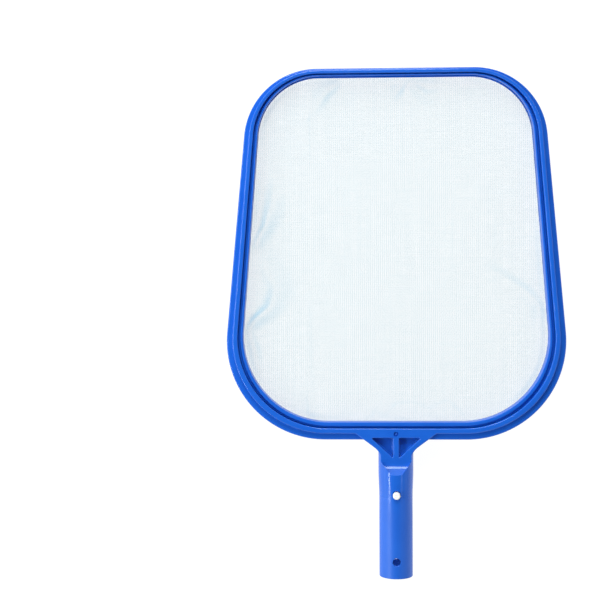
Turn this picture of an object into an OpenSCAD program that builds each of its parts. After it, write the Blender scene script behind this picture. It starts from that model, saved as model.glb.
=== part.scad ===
// Leaf skimmer: a flat mesh in a rounded moulded frame, on a short neck that plugs into a pole.
// Millimetres. The origin is the centre of the spigot's mouth. +Y runs up the tool to the frame's
// far edge, +X is to the right, and +Z is the front, where the leaves are gathered.

/* [Frame outline] */
// Greatest width of the frame
frame_w = 272; // [255:1:290]
// Length of the frame, from its near edge to its far edge
frame_l = 298; // [285:1:330]
// Depth of the frame, front to back
frame_h = 13; // [12:0.5:16]
// Distance from the spigot's mouth to the frame's near edge
neck_l = 110; // [108:1:114]
// Lean of each long side towards the centre line, in degrees
lean = 5.2; // [4:0.1:6]
// Radius of the corners next to the neck
near_r = 79.3; // [70:0.1:90]
// Radius of the far corners
far_r = 58.5; // [50:0.1:65]

/* [Mesh opening] */
// Width of the frame's band at the near edge
band_near = 14.3; // [12:0.1:16]
// Width of the band at each side
band_side = 13.3; // [12:0.1:16]
// Width of the band at the far edge
band_far = 6.8; // [6.5:0.1:12]
// Lean of the opening's long sides, in degrees
open_lean = 4.5; // [3:0.1:6]
// Radius of the opening's corners next to the neck
open_near_r = 68.9; // [60:0.1:75]
// Radius of the opening's far corners
open_far_r = 49.6; // [42:0.1:55]
// Thickness of the mesh
mesh_t = 0.5; // [0.3:0.1:0.8]

/* [Band section] */
// Height of the ridge's top above the spigot's axis
ridge_z = 7.2; // [6.5:0.1:8]
// Drop from the ridge to the outer shelf
shelf_drop = 4; // [2:0.1:5]
// Drop from the ridge to the retaining ring's lip
lip_drop = 1.8; // [1:0.1:3]
// Drop from the ridge to the floor of the groove beside the lip
groove_drop = 4; // [3:0.1:5]
// Ridge's outer edge, as shares of the band at the near edge, the sides and the far edge
ridge_start = [0.375, 0.39, 0.265]; // [0.2:0.005:0.45]
// Ridge's inner edge, as the same three shares
ridge_end = [0.665, 0.69, 0.71]; // [0.6:0.005:0.75]
// Outer edge of the lip, as the same three shares
lip_start = [0.775, 0.83, 0.83]; // [0.76:0.005:0.85]
// Outer edge of the channel in the frame's back, as the same three shares
channel_start = [0.14, 0.14, 0.16]; // [0.1:0.005:0.2]
// Inner edge of the channel, as the same three shares
channel_end = [0.50, 0.50, 0.42]; // [0.4:0.005:0.55]
// Depth of the channel
channel_h = 7; // [4:0.1:7]
// Thickness of the flange that carries the mesh's edge
flange_t = 1; // [0.8:0.1:1.5]
// Thickness of the ribs across the channel
rib_t = 1.4; // [1:0.1:2]
// Angle from one rib to the next, in degrees
rib_pitch = 12; // [10:2:20]

/* [Neck and gusset] */
// Diameter of the spigot that enters the pole
spigot_d = 26.8; // [25:0.1:30]
// Length of the straight spigot, up to the wider collar
spigot_l = 62; // [55:1:62]
// Diameter of the collar
collar_d = 28.2; // [27.4:0.1:31]
// Diameter of the hollow inside the spigot
hollow_d = 21.6; // [21.6:0.1:22]
// Depth of the hollow
hollow_l = 77; // [75:1:78]
// Diameter of the holes through the spigot and collar
hole_d = 6.4; // [6.4:0.1:7]
// Distance from the mouth to the lower hole
low_hole_y = 13.5; // [12:0.5:15]
// Distance from the mouth to the upper hole, which holds the clip's buttons
high_hole_y = 67; // [66.5:0.1:67.5]
// Width of the gusset where it meets the ridge
gusset_w = 65.4; // [55:0.1:75]
// Radius of the hollow curve between the gusset and the neck
gusset_r = 14; // [3:0.5:16]
// Width of the rib between the gusset's two pockets
pocket_gap = 4.8; // [4:0.1:8]
// Width of each pocket
pocket_w = 17.3; // [12:0.1:18]
// Length of each pocket
pocket_l = 16.1; // [12:0.1:17]
// Thickness of the web between the front and back pockets
web_t = 2.4; // [1.5:0.1:4]

/* [Spring clip] */
// Width of the clip's strip
clip_w = 8; // [6:0.1:8.4]
// Thickness of the strip
clip_t = 1.6; // [1.2:0.1:1.8]
// Distance from the spigot's axis to the outer face of each arm
clip_reach = 9.6; // [9.2:0.1:9.6]
// Distance from the mouth to the bend's centre
bend_y = 29.1; // [28.5:0.1:30]
// Diameter of each button
button_d = 5.8; // [5:0.1:5.8]
// Height of each button above the collar
button_rise = 2.4; // [2:0.1:2.8]

/* [Hidden] */
$fn = 96;
CORNER_STEPS = 20; // segments in each corner of the frame
FILLET_STEPS = 6;  // segments in each small rounded corner
CUT = 1;           // how far a cutter runs past the face it opens
FAR = 30;          // beyond every surface, front or back
GAP = 0.1;         // clearance beside the mesh and the snap bead

near_y = neck_l;
far_y = neck_l + frame_l;
back_z = ridge_z - frame_h;
shelf_z = ridge_z - shelf_drop;
lip_z = ridge_z - lip_drop;
groove_z = ridge_z - groove_drop;
flange_z = back_z + flange_t;
mesh_z = flange_z + GAP;
ring_z = mesh_z + mesh_t + GAP;

// A contour is [near y, far y, half width, lean, near corner radius, far corner radius].
OUTER = [near_y, far_y, frame_w / 2, lean, near_r, far_r];
INNER = [near_y + band_near, far_y - band_far, frame_w / 2 - band_side, open_lean, open_near_r, open_far_r];

function unit(v) = v / norm(v);
function mix(i, share) = OUTER[i] + (INNER[i] - OUTER[i]) * share;
// Contour at the given shares of the band: near edge, sides, far edge
function at_share(s) = [
    mix(0, s[0]), mix(1, s[2]), mix(2, s[1]), mix(3, s[1]),
    mix(4, (s[0] + s[1]) / 2), mix(5, (s[1] + s[2]) / 2)
];
function inset(c, d) = [c[0] + d, c[1] - d, c[2] - d, c[3], c[4] - d, c[5] - d];
function arc(centre, r, from, to, steps) = [
    for (i = [0:steps])
        let (a = from + (to - from) * i / steps)
        centre + r * [cos(a), sin(a)]
];
// Right half of a contour: the near corner, then the far corner, each tangent to the leaning side
function right_half(c) =
    let (
        out = [cos(c[3]), sin(c[3])],
        near_c = [c[2] - c[4], c[0] + c[4]],
        far_cy = c[1] - c[5],
        far_cx = (near_c * out + c[4] - c[5] - far_cy * out[1]) / out[0]
    )
    concat(
        arc(near_c, c[4], -90, c[3], CORNER_STEPS),
        arc([far_cx, far_cy], c[5], c[3], 90, CORNER_STEPS)
    );
function mirrored(pts) = [for (i = [len(pts) - 1:-1:0]) [-pts[i][0], pts[i][1]]];
function outline(c) = let (half = right_half(c)) concat(half, mirrored(half));
// Corner p, between its neighbours a and b, rounded to radius r
function fillet(a, p, b, r) =
    let (
        u = unit(a - p),
        v = unit(b - p),
        half = acos(u * v) / 2,
        centre = p + unit(u + v) * r / sin(half),
        from = u * r / tan(half) + p - centre,
        to = v * r / tan(half) + p - centre,
        a0 = atan2(from[1], from[0]),
        sweep = atan2(to[1], to[0]) - a0,
        turn = sweep > 180 ? sweep - 360 : sweep < -180 ? sweep + 360 : sweep
    )
    arc(centre, r, a0, a0 + turn, FILLET_STEPS);

RIDGE_OUT = at_share(ridge_start);
RIDGE_IN = at_share(ridge_end);
LIP_OUT = at_share(lip_start);

module slab(contour, z0, z1) {
    translate([0, 0, z0])
        linear_extrude(z1 - z0)
            polygon(outline(contour));
}

// Everything that turns round the spigot's axis
module along_neck() {
    rotate([-90, 0, 0])
        children();
}

// A profile of [y, z] points, drawn across the whole width of the tool
module across(profile, width) {
    rotate([90, 0, 90])
        linear_extrude(width, center = true)
            polygon(profile);
}

/* Main frame */
bead_z = -1.8;     // middle of the snap bead on the ring
bead_h = 1.2;
bead_out = 0.35;   // how far the bead stands out past the recess wall
seat_y = 88.8;     // where the flat of the neck starts
crown_y = 82.9;    // where the slope up to the flat leaves the collar
// Half outline of the cut that makes the flat: its lower end narrows between two cheeks
cheek_half = [[FAR, neck_l + 6], [FAR, 93.5], [11.8, 92.7], [10.6, 90.9], [4.4, 83.4], [3.8, 80.8]];
flare_l = 24;      // length over which the spigot widens to the collar
tail_y = 88;       // where the neck's underside starts to rise
tail_end_y = 105;
neck_end_y = near_y + 4;
core_d = 12;       // narrower core beyond the hollow, which keeps the neck's walls even
core_y = 90;
pocket_end_y = near_y + 1.8;
pocket_r = 0.6;
plate_x = 11.7;    // half width of the flat, where the plate dies into the collar
plate_y = 100;    // where the gusset's edge would meet that width
dimple_y = near_y + 4.9;
dimple_d = 4;
dimple_h = 1.4;
nub_d = 1.4;

module neck() {
    difference() {
        along_neck()
            rotate_extrude()
                polygon([
                    [0, 0], [spigot_d / 2, 0], [spigot_d / 2, spigot_l],
                    [collar_d / 2, spigot_l + flare_l], [collar_d / 2, neck_end_y], [0, neck_end_y]
                ]);
        intersection() {
            across([[crown_y - 5.8, ridge_z + 13.2], [seat_y, ridge_z], [neck_end_y + CUT, ridge_z],
                    [neck_end_y + CUT, ridge_z + 13.2]], 2 * FAR);
            translate([0, 0, ridge_z - CUT])
                linear_extrude(FAR)
                    polygon(concat(cheek_half, mirrored(cheek_half)));
        }
        across([[tail_y - CUT, -FAR], [tail_y, -collar_d / 2 - 0.1], [tail_end_y, back_z],
                [neck_end_y + CUT, back_z], [neck_end_y + CUT, -FAR]], 2 * FAR);
    }
}

// Half outline of the gusset plate: it runs in from the ridge and dies into the neck
function gusset_half() =
    let (top = [gusset_w / 2, near_y + 5.6], waist = [plate_x, plate_y], foot = [plate_x, seat_y + 2])
    concat([[gusset_w / 2, near_y + 6.8], top], fillet(top, waist, foot, gusset_r), [foot]);

module gusset() {
    translate([0, 0, back_z])
        linear_extrude(frame_h)
            polygon(concat(gusset_half(), mirrored(gusset_half())));
}

module pocket(z0, z1) {
    a = [pocket_gap / 2, pocket_end_y];
    b = [pocket_gap / 2 + pocket_w, pocket_end_y];
    c = [pocket_gap / 2, pocket_end_y - pocket_l];
    translate([0, 0, z0])
        linear_extrude(z1 - z0)
            polygon(concat(fillet(c, a, b, pocket_r), fillet(a, b, c, pocket_r), fillet(b, c, a, pocket_r)));
}

module pockets() {
    for (side = [0, 1])
        mirror([side, 0, 0]) {
            pocket(web_t / 2, FAR);
            pocket(-FAR, -web_t / 2);
        }
}

// Channel in the frame's back, crossed by ribs that point at the middle of the frame
module back_channel() {
    translate([0, 0, back_z - CUT])
        linear_extrude(channel_h + CUT)
            difference() {
                polygon(outline(at_share(channel_start)));
                polygon(outline(at_share(channel_end)));
                translate([0, near_y + frame_l / 2])
                    for (a = [rib_pitch / 2:rib_pitch:180])
                        rotate(a)
                            square([2 * frame_l, rib_t], center = true);
                translate([0, near_y])
                    square([gusset_w, 4 * band_near], center = true);
            }
}

module cross_hole(y) {
    translate([0, y, 0])
        cylinder(d = hole_d, h = 2 * FAR, center = true);
}

module dimple() {
    translate([0, dimple_y, ridge_z - dimple_h])
        difference() {
            cylinder(d = dimple_d, h = dimple_h + CUT);
            translate([0, 0, -CUT])
                cylinder(d = nub_d, h = dimple_h + CUT);
        }
}

module main_frame() {
    color("royalblue")
        difference() {
            union() {
                slab(OUTER, back_z, shelf_z);
                slab(RIDGE_OUT, back_z + CUT, ridge_z);
                gusset();
                neck();
            }
            slab(INNER, back_z - CUT, FAR);
            slab(RIDGE_IN, flange_z, FAR);
            slab(inset(RIDGE_IN, -bead_out - GAP), bead_z - bead_h / 2 - GAP, bead_z + bead_h / 2 + GAP);
            back_channel();
            pockets();
            dimple();
            along_neck()
                translate([0, 0, -CUT])
                    cylinder(d = hollow_d, h = hollow_l + CUT);
            along_neck()
                cylinder(d = core_d, h = core_y);
            cross_hole(low_hole_y);
            cross_hole(high_hole_y);
        }
}

/* Retaining ring: it sits in the frame's recess, holds the mesh's edge down and shows as the lip */
ring_gap = 0.15;

module retaining_ring() {
    color("mediumblue")
        difference() {
            union() {
                slab(inset(RIDGE_IN, ring_gap), ring_z, groove_z);
                slab(inset(RIDGE_IN, -bead_out), bead_z - bead_h / 2, bead_z + bead_h / 2);
                slab(LIP_OUT, groove_z - CUT, lip_z);
            }
            slab(INNER, -FAR, FAR);
        }
}

/* Mesh: one sheet, clamped all round between the flange and the ring */
edge_gap = 0.4;

module net_mesh() {
    color("aliceblue")
        slab(inset(RIDGE_IN, edge_gap), mesh_z, mesh_z + mesh_t);
}

/* Spring clip: a bend and two arms, each arm with a button that stands out through the collar */
arm_z = clip_reach - clip_t / 2;
pivot_y = bend_y + clip_t / 2 + GAP;
arm_end_y = 71;
button_y = high_hole_y - 0.15; // low in its hole, because the button rises as the arm is pressed in
button_tip_z = collar_d / 2 + button_rise;
button_round = 1.2;

module clip_bow() {
    color("white")
        translate([0, bend_y, 0])
            rotate([90, 0, 90])
                linear_extrude(clip_w, center = true)
                    difference() {
                        circle(clip_reach);
                        circle(clip_reach - clip_t);
                        translate([0, -FAR])
                            square(2 * FAR);
                    }
}

// One arm with its button, on the +Z side
module clip_arm() {
    translate([0, pivot_y, arm_z])
        rotate([0, 90, 0])
            cylinder(d = clip_t, h = clip_w, center = true);
    translate([0, 0, arm_z - clip_t / 2])
        linear_extrude(clip_t) {
            translate([-clip_w / 2, pivot_y])
                square([clip_w, arm_end_y - clip_w / 2 - pivot_y]);
            translate([0, arm_end_y - clip_w / 2])
                circle(d = clip_w);
        }
    translate([0, button_y, 0])
        rotate_extrude()
            polygon(concat(
                [[0, arm_z], [button_d / 2, arm_z]],
                arc([button_d / 2 - button_round, button_tip_z - button_round], button_round, 0, 90, FILLET_STEPS),
                [[0, button_tip_z]]
            ));
}

module clip_front_arm() {
    color("white")
        clip_arm();
}

module clip_rear_arm() {
    color("white")
        mirror([0, 0, 1])
            clip_arm();
}

main_frame();
retaining_ring();
net_mesh();
clip_bow();
clip_front_arm();
clip_rear_arm();
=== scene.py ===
import math

import bmesh
import bpy
import numpy as np
from mathutils import Matrix, Vector


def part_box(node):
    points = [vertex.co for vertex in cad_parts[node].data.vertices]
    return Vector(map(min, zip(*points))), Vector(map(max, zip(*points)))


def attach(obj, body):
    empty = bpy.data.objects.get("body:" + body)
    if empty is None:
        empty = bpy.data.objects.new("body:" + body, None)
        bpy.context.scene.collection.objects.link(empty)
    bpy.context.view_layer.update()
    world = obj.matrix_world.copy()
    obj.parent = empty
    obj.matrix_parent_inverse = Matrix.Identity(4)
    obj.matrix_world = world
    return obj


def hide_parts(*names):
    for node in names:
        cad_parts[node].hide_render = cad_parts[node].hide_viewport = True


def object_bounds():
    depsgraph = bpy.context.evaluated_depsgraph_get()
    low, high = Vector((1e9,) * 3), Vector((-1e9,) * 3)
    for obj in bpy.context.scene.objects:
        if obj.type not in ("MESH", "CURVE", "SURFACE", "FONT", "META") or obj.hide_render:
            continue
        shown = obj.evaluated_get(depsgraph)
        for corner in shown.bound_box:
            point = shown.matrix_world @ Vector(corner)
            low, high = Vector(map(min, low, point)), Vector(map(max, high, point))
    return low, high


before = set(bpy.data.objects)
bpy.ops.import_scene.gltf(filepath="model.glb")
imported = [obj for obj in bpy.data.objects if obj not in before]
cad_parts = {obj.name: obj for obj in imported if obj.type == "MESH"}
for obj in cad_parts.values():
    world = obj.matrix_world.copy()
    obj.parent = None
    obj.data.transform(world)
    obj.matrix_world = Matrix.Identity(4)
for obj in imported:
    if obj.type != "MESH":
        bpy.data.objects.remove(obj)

cad_low, cad_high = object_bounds()

# ---------------------------------------------------------------- sizes, in metres
# The band's plan and section follow the CAD model. A contour is
# (near y, far y, half width, lean in degrees, near corner radius, far corner radius).
NEAR_Y = 0.110
FAR_Y = cad_high.y
HALF_W = cad_high.x
NEAR_BAND, SIDE_BAND, FAR_BAND = 0.0143, 0.0133, 0.0064  # how wide the band is
OUTER = np.array([NEAR_Y, FAR_Y, HALF_W, 5.2, 0.0793, 0.0585])
INNER = np.array([NEAR_Y + NEAR_BAND, FAR_Y - FAR_BAND, HALF_W - SIDE_BAND, 4.5, 0.0689, 0.0496])
# Where each part of the section lies, as shares of the band's width at the near edge, the sides and the far edge
RIDGE_START = (0.375, 0.39, 0.265)
RIDGE_END = (0.665, 0.69, 0.71)
LIP_START = (0.775, 0.87, 0.85)
CHANNEL_START = (0.14, 0.14, 0.16)
CHANNEL_END = (0.50, 0.50, 0.42)

RIDGE_Z = 0.0072
BACK_Z = -0.0058
SHELF_Z = 0.0032
LIP_Z = 0.0054
GROOVE_Z = 0.0032
FLANGE_Z = BACK_Z + 0.001
CHANNEL_Z = BACK_Z + 0.007
RIB_Z = BACK_Z + 0.0005
RIB_T = 0.0014
RIB_SIDE = 0.0002  # a rib's sides slope over this length
RIB_PITCH = math.radians(12)
RING_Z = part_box("retaining_ring")[0].z
RING_GAP = 0.00015  # between the ring and the ridge
RING_LEAN = 0.2  # how far the ring's inner wall leans back where the band is narrow, as a share of what is missing
NET_Z = (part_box("net_mesh")[0].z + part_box("net_mesh")[1].z) / 2

SPIGOT_R = 0.0134
COLLAR_R = 0.0141
HOLLOW_R = 0.0108
CORE_R = 0.006
HOLLOW_Y = 0.077
CORE_Y = 0.090
FLARE_Y = 0.062  # the spigot widens to the collar from here
FLARE_L = 0.024
NECK_END_Y = 0.114
SEAT_Y = 0.0888
CROWN_Y = 0.0829
TAIL_Y = 0.088
TAIL_END_Y = 0.105
HOLE_R = 0.0032
UPPER_RISE = 0.005  # from the start of the flare to the upper holes
HOLES = (  # distance from the mouth, and the wall's outer radius there
    (0.0135, SPIGOT_R),
    (0.067, SPIGOT_R + (COLLAR_R - SPIGOT_R) * UPPER_RISE / FLARE_L),
)

# Half outlines of (x, y, corner radius)
SCOOP = (  # the slope up to the crown narrows between two cheeks, which this leaves standing
    (0.03, NECK_END_Y + 0.02, 0), (0.03, 0.0935, 0), (0.0118, 0.0927, 0.002), (0.0106, 0.0909, 0.002),
    (0.0044, 0.0834, 0.0008), (0.0038, 0.0808, 0),
)
GUSSET = (
    (0.0327, NEAR_Y + 0.0080, 0), (0.0327, NEAR_Y + 0.0056, 0), (0.0117, 0.1000, 0.014),
    (0.0117, CORE_Y + 0.0008, 0),
)
POCKET_X = (0.0024, 0.0197)  # the side at the rib, and the outer corner
POCKET_Y = (NEAR_Y - 0.0143, NEAR_Y + 0.0018)
POCKET_CORNER_R = 0.0006
POCKET_RIM_R = 0.0009
POCKET_FLOOR_Z = 0.0012

ARC_STEPS = 40  # stations round each corner of the frame
ROUND_STEPS = 4  # faces of a small rounded edge
SHARP_ANGLE = math.radians(30)
FINE = 0.00002  # keeps faces that would lie in one plane just apart, so that the unions are clean
CLEAR = 0.03  # reach of a cutter that runs out past the part


# ---------------------------------------------------------------- outlines
def band_share(shares):
    """The contour at these shares of the band: near edge, sides, far edge."""
    near, side, far = shares
    weights = np.array([near, far, side, side, (near + side) / 2, (side + far) / 2])
    return OUTER + (INNER - OUTER) * weights


def contour_point(contour, part, t):
    """A point of the right half of a contour. part 0 is half the near edge, 1 the near corner, 2 the side,
    3 the far corner and 4 half the far edge, and t runs from 0 to 1 along it."""
    near_y, far_y, half_w, lean, near_r, far_r = contour
    lean = math.radians(lean)
    out = np.array([math.cos(lean), math.sin(lean)])
    near_c = np.array([half_w - near_r, near_y + near_r])
    far_cy = far_y - far_r
    far_c = np.array([(near_c @ out + near_r - far_r - far_cy * out[1]) / out[0], far_cy])
    if part == 0:
        return np.array([near_c[0] * t, near_y])
    if part == 1:
        a = -math.pi / 2 + (math.pi / 2 + lean) * t
        return near_c + near_r * np.array([math.cos(a), math.sin(a)])
    if part == 2:
        return (near_c + near_r * out) * (1 - t) + (far_c + far_r * out) * t
    if part == 3:
        a = lean + (math.pi / 2 - lean) * t
        return far_c + far_r * np.array([math.cos(a), math.sin(a)])
    return np.array([far_c[0] * (1 - t), far_y])


def half_stations():
    """(part, t) pairs up the right half, from the middle of the near edge to the middle of the far edge."""
    counts = ((0, 12), (1, ARC_STEPS), (2, 24), (3, ARC_STEPS), (4, 10))
    return [(part, i / n) for part, n in counts for i in range(n)] + [(4, 1.0)]


def rib_stations(plain):
    """The plain stations with four more round each rib of the back channel, and whether each lies on a rib."""
    centre = np.array([0.0, (NEAR_Y + FAR_Y) / 2])
    mid = (band_share(CHANNEL_START) + band_share(CHANNEL_END)) / 2
    keys = np.array([part + t for part, t in plain])
    pts = np.array([contour_point(mid, *s) for s in plain])
    run = np.concatenate([[0], np.cumsum(np.linalg.norm(np.diff(pts, axis=0), axis=1))])
    # Angles from straight down, which grow up the right half
    angles = np.unwrap(np.arctan2((pts - centre)[:, 0], -(pts - centre)[:, 1]))
    ribs = [a for a in np.arange(RIB_PITCH / 2, math.pi, RIB_PITCH) if a > angles[0]]
    found = []
    for a in ribs:
        s = np.interp(a, angles, run)
        edges = ((-RIB_T / 2 - RIB_SIDE, False), (-RIB_T / 2, True), (RIB_T / 2, True), (RIB_T / 2 + RIB_SIDE, False))
        for off, on in edges:
            found.append((float(np.interp(s + off, run, keys)), on))
    spans = [(found[i][0], found[i + 3][0]) for i in range(0, len(found), 4)]
    kept = [(k, False) for k in keys if not any(a - 1e-6 <= k <= b + 1e-6 for a, b in spans)]
    merged = sorted(kept + found)
    return [((min(int(k), 4), k - min(int(k), 4)), on) for k, on in merged]


def mirrored(half):
    """A closed outline of (x, y, corner radius) from its right half."""
    return [*half, *((-x, y, r) for x, y, r in half[::-1])]


def twice_area(outline):
    """Twice the area of a closed outline, negative if it runs clockwise."""
    x, y = outline[:, 0], outline[:, 1]
    return float(np.sum(x * np.roll(y, -1) - np.roll(x, -1) * y))


def quarter(steps):
    """Angles of a quarter turn."""
    return np.linspace(0, math.pi / 2, steps + 1)


def rounded(corners, steps=ROUND_STEPS):
    """A closed profile of (u, z, radius) corners as points, each corner turned into an arc of steps + 1 points."""
    out = []
    n = len(corners)
    for i in range(n):
        a, p, b = (np.array(corners[j % n][:2], float) for j in (i - 1, i, i + 1))
        if not corners[i][2]:
            out.append(p)
            continue
        u, v = (a - p), (b - p)
        lu, lv = np.linalg.norm(u), np.linalg.norm(v)
        u, v = u / lu, v / lv
        half = math.acos(max(-1.0, min(1.0, float(u @ v)))) / 2
        # An arc takes under half of an edge whose other end is rounded too, and nearly all of any other
        free = [0.45 if corners[j % n][2] else 0.95 for j in (i - 1, i + 1)]
        r = min(corners[i][2], min(lu * free[0], lv * free[1]) * math.tan(half))
        centre = p + (u + v) / np.linalg.norm(u + v) * r / math.sin(half)
        start, end = p + u * r / math.tan(half) - centre, p + v * r / math.tan(half) - centre
        a0 = math.atan2(start[1], start[0])
        sweep = (math.atan2(end[1], end[0]) - a0 + math.pi) % (2 * math.pi) - math.pi
        for k in range(steps + 1):
            a = a0 + sweep * k / steps
            out.append(centre + r * np.array([math.cos(a), math.sin(a)]))
    return np.array(out)


# ---------------------------------------------------------------- mesh helpers
def new_object(name, bm):
    """An object of this mesh, which is used up."""
    mesh = bpy.data.meshes.new(name)
    bm.to_mesh(mesh)
    bm.free()
    obj = bpy.data.objects.new(name, mesh)
    bpy.context.scene.collection.objects.link(obj)
    return obj


def ring_mesh(name, profiles):
    """A closed loop of closed profiles, each a list of the same number of 3-D points, skinned with quads."""
    bm = bmesh.new()
    rows = [[bm.verts.new(p) for p in profile] for profile in profiles]
    n = len(rows[0])
    for a, b in zip(rows, rows[1:] + rows[:1]):
        for i in range(n):
            j = (i + 1) % n
            bm.faces.new((a[i], a[j], b[j], b[i]))
    bmesh.ops.recalc_face_normals(bm, faces=bm.faces)
    return new_object(name, bm)


def loft(name, levels):
    """A closed solid through outlines of equal length, each a list of 3-D points, with its ends capped."""
    bm = bmesh.new()
    rows = [[bm.verts.new(p) for p in level] for level in levels]
    n = len(rows[0])
    for a, b in zip(rows, rows[1:]):
        for i in range(n):
            j = (i + 1) % n
            bm.faces.new((a[i], a[j], b[j], b[i]))
    bm.faces.new(rows[0][::-1])
    bm.faces.new(rows[-1])
    bmesh.ops.recalc_face_normals(bm, faces=bm.faces)
    return new_object(name, bm)


def outset(points, distance):
    """A closed plan outline moved outwards by distance, along the mean normal at each point."""
    pts = np.array(points)
    turn = 1 if twice_area(pts) > 0 else -1
    ahead, behind = np.roll(pts, -1, 0) - pts, pts - np.roll(pts, 1, 0)
    normals = []
    for e, f in zip(ahead, behind):
        a, b = (np.array([v[1], -v[0]]) / max(np.linalg.norm(v), 1e-12) for v in (e, f))
        m = (a + b) * turn
        m = m / max(np.linalg.norm(m), 1e-9)
        cos_half = max(0.5, abs(float(m @ (a * turn))))
        normals.append(m / cos_half)
    return pts + np.array(normals) * distance


def prism(name, outline, levels):
    """A loft of one outline, with levels of (outward offset, height)."""
    return loft(name, [[(x, y, z) for x, y in outset(outline, off)] for off, z in levels])


def edge_levels(z0, z1, r0, r1):
    """(offset, height) levels of a wall from z0 to z1 with its bottom and top edges rounded to r0 and r1."""
    bottom = [(-r0 * (1 - math.sin(a)), z0 + r0 * (1 - math.cos(a))) for a in quarter(ROUND_STEPS)]
    top = [(-r1 * (1 - math.cos(a)), z1 - r1 * (1 - math.sin(a))) for a in quarter(ROUND_STEPS)]
    return bottom + top


def revolve(name, profile, origin, axis, steps=96):
    """A solid of revolution. profile holds (radius, distance along axis) points and may start and end on the axis."""
    axis = Vector(axis)
    u = axis.orthogonal().normalized()
    v = axis.cross(u)
    bm = bmesh.new()
    rows = []
    for r, d in profile:
        base = Vector(origin) + axis * d
        if r < 1e-9:
            rows.append([bm.verts.new(base)])
        else:
            angles = [2 * math.pi * i / steps for i in range(steps)]
            rows.append([bm.verts.new(base + (u * math.cos(a) + v * math.sin(a)) * r) for a in angles])
    for a, b in zip(rows, rows[1:]):
        for i in range(steps):
            j = (i + 1) % steps
            quad = [a[i % len(a)], a[j % len(a)], b[j % len(b)], b[i % len(b)]]
            face = [w for k, w in enumerate(quad) if w not in quad[:k]]
            if len(face) > 2:
                bm.faces.new(face)
    bmesh.ops.recalc_face_normals(bm, faces=bm.faces)
    return new_object(name, bm)


def joined(objs):
    """One object of these, whose solids don't overlap."""
    bpy.ops.object.select_all(action="DESELECT")
    for o in objs:
        o.select_set(True)
    bpy.context.view_layer.objects.active = objs[0]
    bpy.ops.object.join()
    return objs[0]


def boolean(obj, tool, operation):
    """obj with tool added or cut away, exactly. The tool is removed."""
    mod = obj.modifiers.new("cut", "BOOLEAN")
    mod.object = tool
    mod.operation = operation
    mod.solver = "EXACT"
    dg = bpy.context.evaluated_depsgraph_get()
    mesh = bpy.data.meshes.new_from_object(obj.evaluated_get(dg))
    obj.modifiers.clear()
    old = obj.data
    obj.data = mesh
    bpy.data.meshes.remove(old)
    bpy.data.objects.remove(tool)
    return obj


def shade_smooth(obj):
    obj.data.polygons.foreach_set("use_smooth", [True] * len(obj.data.polygons))


def smooth(obj):
    """Smooth shading, with edges past SHARP_ANGLE left sharp and flat faces kept flat."""
    shade_smooth(obj)
    obj.data.set_sharp_from_angle(angle=SHARP_ANGLE)
    mod = obj.modifiers.new("weighted", "WEIGHTED_NORMAL")
    mod.keep_sharp = True


# ---------------------------------------------------------------- the frame's moulding
def band_profiles(section, ribs=True):
    """Profiles all round the band. section(u, on_rib) gives the corners for the local widths u, each as
    (distance in from the band's outer edge, height, corner radius)."""
    right = rib_stations(half_stations()) if ribs else [(s, False) for s in half_stations()]
    contours = {
        "start": band_share(RIDGE_START), "end": band_share(RIDGE_END), "lip": band_share(LIP_START),
        "cut": band_share(CHANNEL_START), "uncut": band_share(CHANNEL_END), "inner": INNER,
    }
    rows = []
    for (part, t), on_rib in right:
        foot = contour_point(OUTER, part, t)
        inner = contour_point(INNER, part, t)
        inward = (inner - foot) / np.linalg.norm(inner - foot)
        u = {k: float((contour_point(c, part, t) - foot) @ inward) for k, c in contours.items()}
        profile = rounded(section(u, on_rib))
        rows.append([(*(foot + inward * a), z) for a, z in profile])
    left = [[(-x, y, z) for x, y, z in row] for row in rows[-2:0:-1]]
    return rows + left


def moulding_section(u, on_rib):
    """The shelf, the ridge, the flange under the ring and the cored channel on the back."""
    roof = RIB_Z if on_rib else CHANNEL_Z
    return [
        (0, BACK_Z, 0.0006),
        (0, SHELF_Z, 0.0012),
        (u["start"], SHELF_Z + 0.0002, 0.0005),
        (u["start"], RIDGE_Z, 0.0009),
        (u["end"], RIDGE_Z, 0.0009),
        (u["end"], FLANGE_Z, 0.0002),
        (u["inner"], FLANGE_Z, 0.0002),
        (u["inner"], BACK_Z, 0.0004),
        (u["uncut"], BACK_Z, 0.0003),
        (u["uncut"], roof, 0.0006),
        (u["cut"], roof, 0.0006),
        (u["cut"], BACK_Z, 0.0003),
    ]


def ring_section(u, on_rib):
    """The ring, with its lip along the inner edge. Its inner wall is upright, but leans back under the lip where
    the band is narrow, along the far edge."""
    lean = max(0.0, SIDE_BAND - u["inner"]) * RING_LEAN
    return [
        (u["end"] + RING_GAP, RING_Z, 0.0002),
        (u["end"] + RING_GAP, GROOVE_Z, 0.0003),
        (u["lip"], GROOVE_Z, 0.0003),
        (u["lip"], LIP_Z, 0.0005),
        (u["inner"], LIP_Z, 0.0007),
        (u["inner"] - lean, RING_Z, 0.0003),
    ]


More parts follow.
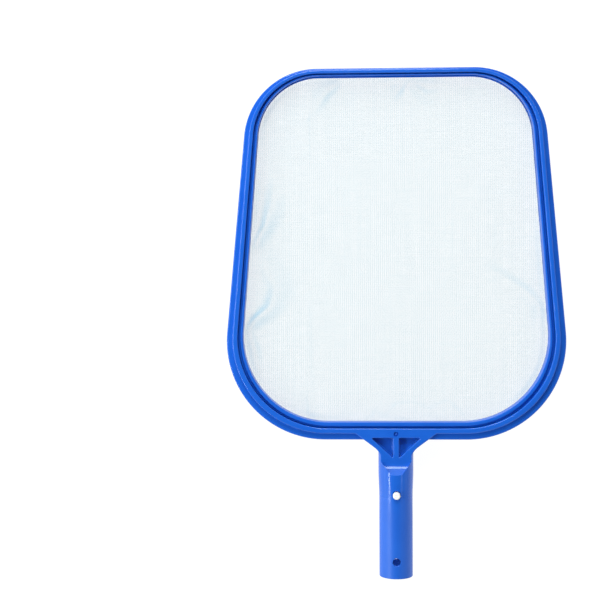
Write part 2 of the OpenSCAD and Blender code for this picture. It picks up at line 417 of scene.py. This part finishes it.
def neck():
    """The spigot, collar and neck, hollow from the mouth, with the flat on its front and its rising underside."""
    outer_r, inner_r = 0.0005, 0.0006  # of the mouth's edges
    lip = [(SPIGOT_R - outer_r * (1 - math.sin(a)), outer_r * (1 - math.cos(a))) for a in quarter(5)]
    inner_lip = [(HOLLOW_R + inner_r * (1 - math.sin(a)), inner_r * (1 - math.cos(a))) for a in quarter(5)[::-1]]
    widening = [
        (SPIGOT_R + (COLLAR_R - SPIGOT_R) * t * t * (3 - 2 * t), FLARE_Y + FLARE_L * t) for t in np.linspace(0, 1, 9)
    ]
    profile = [(0, CORE_Y), (CORE_R, CORE_Y), (CORE_R, HOLLOW_Y), (HOLLOW_R, HOLLOW_Y), *inner_lip, *lip, *widening,
               (COLLAR_R, NECK_END_Y), (0, NECK_END_Y)]
    solid = revolve("neck", profile, (0, 0, 0), (0, 1, 0))
    # Two cuts across the neck, as outlines of (y, z, corner radius)
    slope = (COLLAR_R - RIDGE_Z) / (SEAT_Y - CROWN_Y)
    rise, past_y = 0.012, NECK_END_Y + 0.01
    front = rounded([
        (SEAT_Y - rise / slope, RIDGE_Z + rise, 0), (SEAT_Y, RIDGE_Z - FINE, 0.009),
        (past_y, RIDGE_Z - FINE, 0), (past_y, RIDGE_Z + rise, 0)], 6)
    back = rounded([
        (TAIL_Y, -COLLAR_R - 0.0001, 0.006), (TAIL_END_Y, BACK_Z, 0.003), (past_y, BACK_Z, 0),
        (past_y, -CLEAR, 0), (TAIL_Y - 0.002, -CLEAR, 0)], 6)
    wedge, tail = (loft("cut", [[(x, y, z) for y, z in shape] for x in (-CLEAR, CLEAR)]) for shape in (front, back))
    scoop = prism("scoop", rounded(mirrored(SCOOP), 5), [(0, RIDGE_Z - 0.003), (0, COLLAR_R + 0.004)])
    wedge = boolean(wedge, scoop, "INTERSECT")
    return boolean(solid, joined([wedge, tail]), "DIFFERENCE")


def gusset():
    """The flat plate from the ridge down to the neck."""
    levels = edge_levels(BACK_Z + FINE, RIDGE_Z - 2 * FINE, 0.0004, 0.0008)
    return prism("gusset", rounded(mirrored(GUSSET), 8), levels)


def pocket_cutters():
    """Triangular pockets beside the gusset's rib, front and back, with rounded rims and floors."""
    (x0, x1), (y0, y1), r, rim = POCKET_X, POCKET_Y, POCKET_CORNER_R, POCKET_RIM_R
    made = []
    for side in (1, -1):
        outline = rounded([(side * x0, y1, r), (side * x1, y1, r), (side * x0, y0, r)], 6)
        for top, turn in ((RIDGE_Z, 1), (-BACK_Z, -1)):
            levels = [
                *((-rim * (1 - math.sin(a)), POCKET_FLOOR_Z + rim * (1 - math.cos(a))) for a in quarter(ROUND_STEPS)),
                *((rim * (1 - math.cos(a)), top - rim + rim * math.sin(a)) for a in quarter(ROUND_STEPS)),
                (rim, top + 0.012),
            ]
            made.append(prism("pocket", outline, [(off, turn * z) for off, z in levels]))
    return made


def hole_cutters():
    """A spool through both walls for each pair of cross-holes, with a soft rim in front and a crisp one behind."""
    made = []
    for y, wall in HOLES:
        top, past_z = wall - 0.0001, wall + 0.004
        back, front = (
            [(HOLE_R + rim * (1 - math.cos(a)), top - rim + rim * math.sin(a)) for a in quarter(ROUND_STEPS)]
            + [(HOLE_R + rim, past_z), (0, past_z)]
            for rim in (0.0002, 0.0005)
        )
        made.append(revolve("hole", [(r, -z) for r, z in back[::-1]] + front, (0, y, 0), (0, 0, 1), 64))
    return made


def dimple_cutter():
    """The gate mark: a shallow dish with a small domed stub left in the middle."""
    r, depth, nub, dome, up = 0.0020, 0.0014, 0.0007, 0.0006, 0.001
    stub = [(nub * math.sin(a), -dome * (1 - math.cos(a))) for a in np.linspace(0, 1.35, 6)]
    dish = [(nub, -depth), (r * 0.8, -depth), (r * 0.95, -depth * 0.5), (r, -0.0001), (r * 1.08, up), (0, up)]
    return revolve("dimple", stub + dish, (0, NEAR_Y + 0.0049, RIDGE_Z), (0, 0, 1), 48)


def moulding():
    """Neck, gusset and band as one solid, with the pockets, holes and gate mark cut out of it."""
    body = boolean(neck(), gusset(), "UNION")
    body = boolean(body, ring_mesh("band", band_profiles(moulding_section)), "UNION")
    body = boolean(body, joined(pocket_cutters() + hole_cutters() + [dimple_cutter()]), "DIFFERENCE")
    body.name = "frame_moulding"
    body.data.name = "frame_moulding"
    return body


# ---------------------------------------------------------------- the mesh sheet
NET_STEP = 0.0016
THREAD_PITCH = 0.00062
PAIR_PITCH = {"X": 0.00164, "Y": 0.0014}  # a heavier thread comes round this often
THREAD_DRIFT = 0.0012  # how far the threads wander sideways
# The weave is solid where the waves of its threads rise past these heights, and open below them
THREAD_EDGE = (0.76, 0.90)
HEAVY = {"X": 0.105, "Y": 0.055}  # how much the heavier threads add to the waves
UNEVEN = 0.03  # how much a thread's own thickness varies
SLOPE_RANGE = (0.03, 0.35)  # the steepness at which threads begin to close up and their colour begins to darken as painted shade, and at which both are greatest
GATHER_CLOSE = 0.35  # what the closest threads add to the waves
NET_MARGIN = 0.0004  # between the sheet and the wall of its recess
NET_EASE = 0.006  # the sheet lies flat at the rim, and is free this far in
PUCKER_SHARE = 0.55  # of the heights below

# Puckers, where the sheet was gathered as it was clamped. Each is a path of (x, y, height, half width) in
# millimetres that starts at the rim. The sheet falls steeply on the left of the path and gently on its right.
PUCKERS = (
    ((-112.8, 269, 1.2, 3), (-104.6, 283, 2.2, 4), (-99.9, 299, 1.8, 6), (-95, 323, 0.3, 8)),
    ((-119.7, 200, 1.0, 3), (-112, 208, 2.4, 3.5), (-101, 217, 2.2, 5), (-96.4, 232, 1.6, 7), (-103.5, 248, 1.0, 8),
     (-111.6, 260, 0.4, 6)),
    ((-119.7, 198, 0.8, 4), (-113.9, 183, 1.3, 5), (-110.4, 162, 0.3, 6)),
    ((-47.5, 396, 0.8, 4), (-56.8, 388, 1.6, 5), (-66, 374, 0.4, 6)),
    ((7.3, 397, 0.8, 3), (3, 391, 1.4, 4), (-2, 384.5, 0.3, 5)),
    ((15.4, 395, 0.8, 3), (24.8, 387, 1.0, 4), (41, 387, 0.2, 5)),
    ((69, 246, 0.2, 8), (80.7, 243.5, 0.6, 7), (92.3, 236.5, 0.9, 6), (104, 229.5, 1.2, 5), (119, 215.5, 0.7, 5)),
    ((116.8, 213, 1.0, 4), (115.6, 192, 0.6, 5), (113, 170, 0.2, 5)),
    ((-68.5, 127.5, 0.8, 3), (-68.5, 141, 0.3, 4)),
    ((-16, 127, 0.9, 4), (-14.9, 134, 0.3, 4)),
    ((-5.6, 128, 0.3, 3), (0, 136, 0.6, 4), (14, 137, 0.5, 4), (28, 132, 0.5, 4), (41, 139, 0.4, 4),
     (50.4, 131.5, 0.5, 3), (54, 127.5, 0.3, 3)),
    ((-70, 394, 0.25, 2), (-70, 250, 0.2, 2), (-69.5, 143, 0.25, 2)),
)


def net_outline():
    """The ridge's inner contour, brought in by NET_MARGIN."""
    contour = band_share(RIDGE_END) + NET_MARGIN * np.array([1, -1, -1, 0, -1, -1])
    right = [contour_point(contour, *s) for s in half_stations()]
    return np.array(right + [(-x, y) for x, y in right[-2:0:-1]])


def inside(points, outline):
    """Which of the points lie inside a closed outline."""
    x, y = points[:, 0], points[:, 1]
    hit = np.zeros(len(points), bool)
    for (x0, y0), (x1, y1) in zip(outline, np.roll(outline, -1, 0)):
        if y0 != y1:
            hit ^= ((y0 > y) != (y1 > y)) & (x < (x1 - x0) * (y - y0) / (y1 - y0) + x0)
    return hit


def distance_in(points, outline):
    """Distance from each point to the nearest point of the outline."""
    best = np.full(len(points), 1e9)
    for p, q in zip(outline, np.roll(outline, -1, 0)):
        d = q - p
        t = np.clip(((points - p) @ d) / max(d @ d, 1e-12), 0, 1)
        best = np.minimum(best, np.linalg.norm(points - p - t[:, None] * d, axis=1))
    return best


def pucker_height(points):
    """Rise of the sheet at each point: the sum of its puckers, each a ridge along a smoothed path."""
    total = np.zeros(len(points))
    for path in PUCKERS:
        path = np.array(path) / 1000
        knots = np.linspace(0, 1, len(path))
        t = np.linspace(0, 1, 80)
        line = np.stack([np.interp(t, knots, path[:, k]) for k in range(4)], axis=1)
        for _ in range(6):
            line[1:-1] = (line[:-2] + 2 * line[1:-1] + line[2:]) / 4
        ahead = np.gradient(line[:, :2], axis=0)
        best = np.full(len(points), 1e9)
        rise = np.zeros(len(points))
        for (x, y, height, width), (dx, dy) in zip(line, ahead):
            off = points - (x, y)
            d = np.linalg.norm(off, axis=1)
            left = dx * off[:, 1] - dy * off[:, 0] > 0
            share = d / np.where(left, 0.8 * width, 1.7 * width)
            near = d < best
            rise = np.where(near, height * np.exp(-(share**2)), rise)
            best = np.where(near, d, best)
        total += rise
    return total


def net_sheet():
    """The sheet, held flat round the rim. Its attribute sheet_slope is how steep it is, which sets how close its
    threads lie and how much painted shade their colour carries.
    """
    outline = net_outline()
    low, high = outline.min(0), outline.max(0)
    nx, ny = (int(round(v / NET_STEP)) for v in high - low)
    xs, ys = np.linspace(low[0], high[0], nx + 1), np.linspace(low[1], high[1], ny + 1)
    x, y = (v.ravel() for v in np.meshgrid(xs, ys))
    grid = np.stack([x, y], axis=1)
    keep = inside(grid, outline) & (distance_in(grid, outline) > 0.4 * NET_STEP)
    rim = np.array([contour_point(INNER, *s) for s in half_stations()])
    rim = np.vstack([rim, rim[-2:0:-1] * (-1, 1)])
    free = np.where(inside(grid, rim), distance_in(grid, rim), 0.0)
    ease = np.clip(free / NET_EASE, 0, 1)
    ease = ease * ease * (3 - 2 * ease)
    # A slow, shallow waviness over the whole sheet
    slack = 0.0004 * np.sin(x * 31 + 1.2) * np.sin(y * 27 + 0.4) + 0.0002 * np.sin(x * 73 + y * 41)
    rise = ease * (PUCKER_SHARE * pucker_height(grid) + slack)
    steep = np.hypot(*np.gradient(rise.reshape(ny + 1, nx + 1), ys[1] - ys[0], xs[1] - xs[0])).ravel()
    bm = bmesh.new()
    verts = {int(k): bm.verts.new((x[k], y[k], NET_Z + rise[k])) for k in np.nonzero(keep)[0]}
    for j in range(ny):
        for i in range(nx):
            k = j * (nx + 1) + i
            corners = (k, k + 1, k + nx + 2, k + nx + 1)
            if all(c in verts for c in corners):
                bm.faces.new([verts[c] for c in corners])
    linked = [k for k, v in verts.items() if v.link_faces]
    bmesh.ops.delete(bm, geom=[v for v in bm.verts if not v.link_faces], context="VERTS")
    obj = new_object("net_sheet", bm)
    sheet_slope = obj.data.attributes.new("sheet_slope", "FLOAT", "POINT")
    sheet_slope.data.foreach_set("value", np.clip(steep[linked], 0, 1).astype(np.float32))
    shade_smooth(obj)
    return obj, outline


# ---------------------------------------------------------------- materials
MATT_ROUGHNESS = 0.42
MATT_TO_GLOSS_Y = (0.050, 0.078)  # the spigot's matt finish gives way to gloss between these heights


def material(name):
    """A new material, its node tree and its shader."""
    mat = bpy.data.materials.new(name)
    mat.use_nodes = True
    tree = mat.node_tree
    return mat, tree, tree.nodes["Principled BSDF"]


def noise(tree, scale, detail=2.0):
    """A noise texture in the object's own coordinates."""
    where = tree.nodes.new("ShaderNodeTexCoord")
    tex = tree.nodes.new("ShaderNodeTexNoise")
    tex.inputs["Scale"].default_value = scale
    tex.inputs["Detail"].default_value = detail
    tree.links.new(where.outputs["Object"], tex.inputs["Vector"])
    return tex


def ramp(tree, source, stops):
    """A colour ramp with stops of (position, colour)."""
    node = tree.nodes.new("ShaderNodeValToRGB")
    tree.links.new(source, node.inputs["Fac"])
    elements = node.color_ramp.elements
    while len(elements) < len(stops):
        elements.new(0.5)
    for element, (at, colour) in zip(elements, stops):
        element.position = at
        element.color = (*colour, 1)
    return node


def bump(tree, shader, source, distance, strength):
    """Gives the shader a bumpy normal from a height."""
    node = tree.nodes.new("ShaderNodeBump")
    node.inputs["Distance"].default_value = distance
    node.inputs["Strength"].default_value = strength
    tree.links.new(source, node.inputs["Height"])
    tree.links.new(node.outputs["Normal"], shader.inputs["Normal"])


def blue_plastic(name, rough, shine):
    """Moulded polypropylene with faint flow marks. rough is its roughness above the spigot, which is matt, and
    shine is its specular level."""
    mat, tree, shader = material(name)
    flow = noise(tree, 60, 3)
    tone = ramp(tree, flow.outputs["Fac"], ((0.3, (0.009, 0.110, 0.58)), (0.7, (0.012, 0.124, 0.62))))
    tree.links.new(tone.outputs["Color"], shader.inputs["Base Color"])
    shader.inputs["IOR"].default_value = 1.49
    shader.inputs["Specular IOR Level"].default_value = shine
    shader.inputs["Specular Tint"].default_value = (0.84, 0.94, 1, 1)
    where = tree.nodes.new("ShaderNodeTexCoord")
    split = tree.nodes.new("ShaderNodeSeparateXYZ")
    gloss = tree.nodes.new("ShaderNodeMapRange")
    tree.links.new(where.outputs["Object"], split.inputs["Vector"])
    tree.links.new(split.outputs["Y"], gloss.inputs["Value"])
    gloss.inputs["From Min"].default_value, gloss.inputs["From Max"].default_value = MATT_TO_GLOSS_Y
    gloss.inputs["To Min"].default_value, gloss.inputs["To Max"].default_value = MATT_ROUGHNESS, rough
    tree.links.new(gloss.outputs["Result"], shader.inputs["Roughness"])
    bump(tree, shader, noise(tree, 900).outputs["Fac"], distance=0.00004, strength=0.35)
    return mat


def weave():
    """Fine pale blue mesh: threads both ways, with the gaps between them open. Threads lie closer in the puckers, and
    their colour is deepened there as painted shade.
    """
    mat, tree, shader = material("net_weave")
    nodes, links = tree.nodes, tree.links

    def calc(operation, *values):
        """The output of a math node. The values are numbers or sockets."""
        node = nodes.new("ShaderNodeMath")
        node.operation = operation
        for socket, value in zip(node.inputs, values):
            if isinstance(value, (int, float)):
                socket.default_value = value
            else:
                links.new(value, socket)
        return node.outputs[0]

    def spread(value, low, high, to_low, to_high):
        """A value carried from one range to another, and kept within it."""
        node = nodes.new("ShaderNodeMapRange")
        links.new(value, node.inputs["Value"])
        for name, v in (("From Min", low), ("From Max", high), ("To Min", to_low), ("To Max", to_high)):
            node.inputs[name].default_value = v
        return node.outputs["Result"]

    def stretched(scale, detail):
        """A noise in the object's own coordinates, with a scale for each axis."""
        node = nodes.new("ShaderNodeMapping")
        node.inputs["Scale"].default_value = scale
        links.new(where.outputs["Object"], node.inputs["Vector"])
        tex = nodes.new("ShaderNodeTexNoise")
        tex.inputs["Scale"].default_value = 1
        tex.inputs["Detail"].default_value = detail
        links.new(node.outputs["Vector"], tex.inputs["Vector"])
        return tex

    where = nodes.new("ShaderNodeTexCoord")
    drift = stretched((14, 14, 14), 2)
    warped = nodes.new("ShaderNodeVectorMath")
    warped.operation = "MULTIPLY_ADD"
    links.new(drift.outputs["Color"], warped.inputs[0])
    warped.inputs[1].default_value = (THREAD_DRIFT, THREAD_DRIFT, 0)
    links.new(where.outputs["Object"], warped.inputs[2])
    split = nodes.new("ShaderNodeSeparateXYZ")
    links.new(warped.outputs[0], split.inputs["Vector"])

    def wave(axis, pitch, size, middle):
        """A sine wave along an axis."""
        turns = calc("MULTIPLY", split.outputs[axis], 2 * math.pi / pitch)
        return calc("MULTIPLY_ADD", calc("SINE", turns), size, middle)

    def thickness(axis, scale):
        """What the threads across an axis add to the waves: each varies along its length, and some are heavier."""
        uneven = spread(stretched(scale, 2).outputs["Fac"], 0.3, 0.7, -UNEVEN, UNEVEN)
        return calc("ADD", uneven, wave(axis, PAIR_PITCH[axis], HEAVY[axis], 0))

    height = calc("MAXIMUM", wave("X", THREAD_PITCH, 0.5, 0.5), wave("Y", THREAD_PITCH, 0.5, 0.5))
    warp, weft = thickness("X", (620, 9, 9)), thickness("Y", (60, 420, 9))
    sheet_slope_in = nodes.new("ShaderNodeAttribute")
    sheet_slope_in.attribute_name = "sheet_slope"
    close = spread(sheet_slope_in.outputs["Fac"], *SLOPE_RANGE, 0.0, GATHER_CLOSE)
    thick = calc("ADD", calc("ADD", warp, weft), close)
    cover = spread(calc("ADD", height, thick), *THREAD_EDGE, 0.0, 1.0)
    links.new(cover, shader.inputs["Alpha"])
    # Painted shade: the threads' colour turns darker and bluer where the sheet is steep, standing in for the shading
    # of the puckers
    slope_shade_tones = zip(SLOPE_RANGE, ((0.365, 0.50, 0.545), (0.21, 0.48, 0.64)))
    tone = ramp(tree, sheet_slope_in.outputs["Fac"], tuple(slope_shade_tones))
    links.new(tone.outputs["Color"], shader.inputs["Base Color"])
    # Light also comes through the threads
    shader.inputs["Roughness"].default_value = 0.6
    shader.inputs["Transmission Weight"].default_value = 0.5
    shader.inputs["IOR"].default_value = 1.2
    bump(tree, shader, height, distance=0.0001, strength=0.4)
    return mat


def clip_plastic():
    """Plain white acetal."""
    mat, tree, shader = material("clip_plastic")
    tone = ramp(tree, noise(tree, 300).outputs["Fac"], ((0.3, (0.86, 0.86, 0.84)), (0.7, (0.9, 0.9, 0.885))))
    tree.links.new(tone.outputs["Color"], shader.inputs["Base Color"])
    shader.inputs["Roughness"].default_value = 0.4
    shader.inputs["Subsurface Weight"].default_value = 0.1
    shader.inputs["Subsurface Scale"].default_value = 0.002
    bump(tree, shader, noise(tree, 1500).outputs["Fac"], distance=0.00003, strength=0.3)
    return mat


def paint(obj, mat):
    """Gives the object this material only."""
    obj.data.materials.clear()
    obj.data.materials.append(mat)


# ---------------------------------------------------------------- camera, floor and light
# The camera looks down on the front from a little right of the picture's middle, turned slightly to the left.
DISTANCE = 0.93  # above the ridge
SENSOR = 36.0
PIXELS = 600
SCALE = 0.0008007  # metres across a pixel of the picture, at the ridge's height
CAMERA = (-0.0402, 0.2360)
AIM = (-0.07650, 0.22260)
ROLL = 0.0039  # how far the camera is rolled, in radians

MIDDLE = (0, 0.2, 0)  # what the lamps point at
LAMPS = (  # name, place, (length, height), power in watts
    ("left_strip", (-0.95, 0.15, 0.85), (1.1, 0.2), 8.4),
    ("right_strip", (0.78, 0.15, 1.0), (1.0, 0.2), 0.8),
    ("top_light", (-0.15, 1.25, 0.95), (0.6, 0.6), 12.0),
)
SKY_STRENGTH = 1.5
FLOOR_TONE, FLOOR_GLOW = 0.15, 0.95  # a light table, so that the net is lit from behind
FLOOR_HALF = 6
FLOOR_GAP = 0.0002  # below the part's lowest point


def camera():
    """The camera looks from CAMERA at AIM, and the lens gives SCALE there."""
    cam = bpy.data.objects.new("camera", bpy.data.cameras.new("camera"))
    bpy.context.scene.collection.objects.link(cam)
    place, target = Vector((*CAMERA, RIDGE_Z + DISTANCE)), Vector((*AIM, RIDGE_Z))
    back = (place - target).normalized()
    right = Vector((math.sin(ROLL), math.cos(ROLL), 0)).cross(back).normalized()
    cam.matrix_world = Matrix((right, back.cross(right), back)).transposed().to_4x4()
    cam.location = place
    cam.data.lens = (place - target).length * SENSOR / (SCALE * PIXELS)
    cam.data.sensor_width = SENSOR
    cam.data.clip_start, cam.data.clip_end = 0.01, 20
    bpy.context.scene.camera = cam


def area_light(name, place, size, power):
    """A rectangular lamp that points at MIDDLE, with its length level."""
    lamp = bpy.data.lights.new(name, "AREA")
    lamp.shape = "RECTANGLE"
    lamp.size, lamp.size_y = size
    lamp.energy = power
    obj = bpy.data.objects.new(name, lamp)
    bpy.context.scene.collection.objects.link(obj)
    obj.location = place
    obj.rotation_euler = (Vector(MIDDLE) - Vector(place)).to_track_quat("-Z", "Y").to_euler()


def sky():
    """A soft surround: bright low down, dimmer to the right, and dark overhead where the camera is."""
    world = bpy.data.worlds.new("studio")
    bpy.context.scene.world = world
    world.use_nodes = True
    tree = world.node_tree
    where = tree.nodes.new("ShaderNodeTexCoord")
    split = tree.nodes.new("ShaderNodeSeparateXYZ")
    tree.links.new(where.outputs["Generated"], split.inputs["Vector"])
    tone = ramp(tree, split.outputs["Z"], (
        (0.0, (1, 1, 1)), (0.35, (1, 1, 1)), (0.6, (0.35, 0.35, 0.36)), (0.8, (0.12, 0.12, 0.13)),
        (1.0, (0.06, 0.06, 0.07))))
    side = ramp(tree, split.outputs["X"], ((0.0, (1, 1, 1)), (1.0, (0.45, 0.45, 0.47))))
    mixed = tree.nodes.new("ShaderNodeVectorMath")
    mixed.operation = "MULTIPLY"
    tree.links.new(tone.outputs["Color"], mixed.inputs[0])
    tree.links.new(side.outputs["Color"], mixed.inputs[1])
    tree.links.new(mixed.outputs[0], tree.nodes["Background"].inputs["Color"])
    tree.nodes["Background"].inputs["Strength"].default_value = SKY_STRENGTH


def studio():
    """The surround, the lamps and a pale floor."""
    sky()
    for lamp in LAMPS:
        area_light(*lamp)
    mat, _, shader = material("floor")
    shader.inputs["Base Color"].default_value = (FLOOR_TONE, FLOOR_TONE, FLOOR_TONE, 1)
    shader.inputs["Emission Color"].default_value = (1, 1, 1, 1)
    shader.inputs["Emission Strength"].default_value = FLOOR_GLOW
    shader.inputs["Roughness"].default_value = 0.9
    shader.inputs["Specular IOR Level"].default_value = 0.1
    bm = bmesh.new()
    bmesh.ops.create_grid(bm, x_segments=1, y_segments=1, size=FLOOR_HALF)
    floor = new_object("floor", bm)
    floor.location.z = cad_low.z - FLOOR_GAP
    paint(floor, mat)
    bpy.context.scene.view_settings.view_transform = "Standard"


# ---------------------------------------------------------------- assembly
CLIP_EDGE = 0.0002  # rounding of the clip's edges


def build():
    """Every piece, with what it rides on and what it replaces."""
    blue = blue_plastic("blue_plastic", rough=0.14, shine=0.5)
    lip_blue = blue_plastic("lip_plastic", rough=0.3, shine=0.2)
    mesh_cloth, white = weave(), clip_plastic()

    body = moulding()
    smooth(body)
    paint(body, blue)
    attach(body, "skimmer")
    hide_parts("main_frame")

    ring = ring_mesh("ring_lip", band_profiles(ring_section, ribs=False))
    smooth(ring)
    paint(ring, lip_blue)
    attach(ring, "skimmer")
    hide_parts("retaining_ring")

    sheet, outline = net_sheet()
    paint(sheet, mesh_cloth)
    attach(sheet, "skimmer")
    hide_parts("net_mesh")

    for node in ("clip_bow", "clip_front_arm", "clip_rear_arm"):
        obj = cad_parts[node]
        edge = obj.modifiers.new("edge", "BEVEL")
        edge.width, edge.segments = CLIP_EDGE, 2
        shade_smooth(obj)
        obj.modifiers.new("weighted", "WEIGHTED_NORMAL")
        paint(obj, white)


camera()
studio()
build()
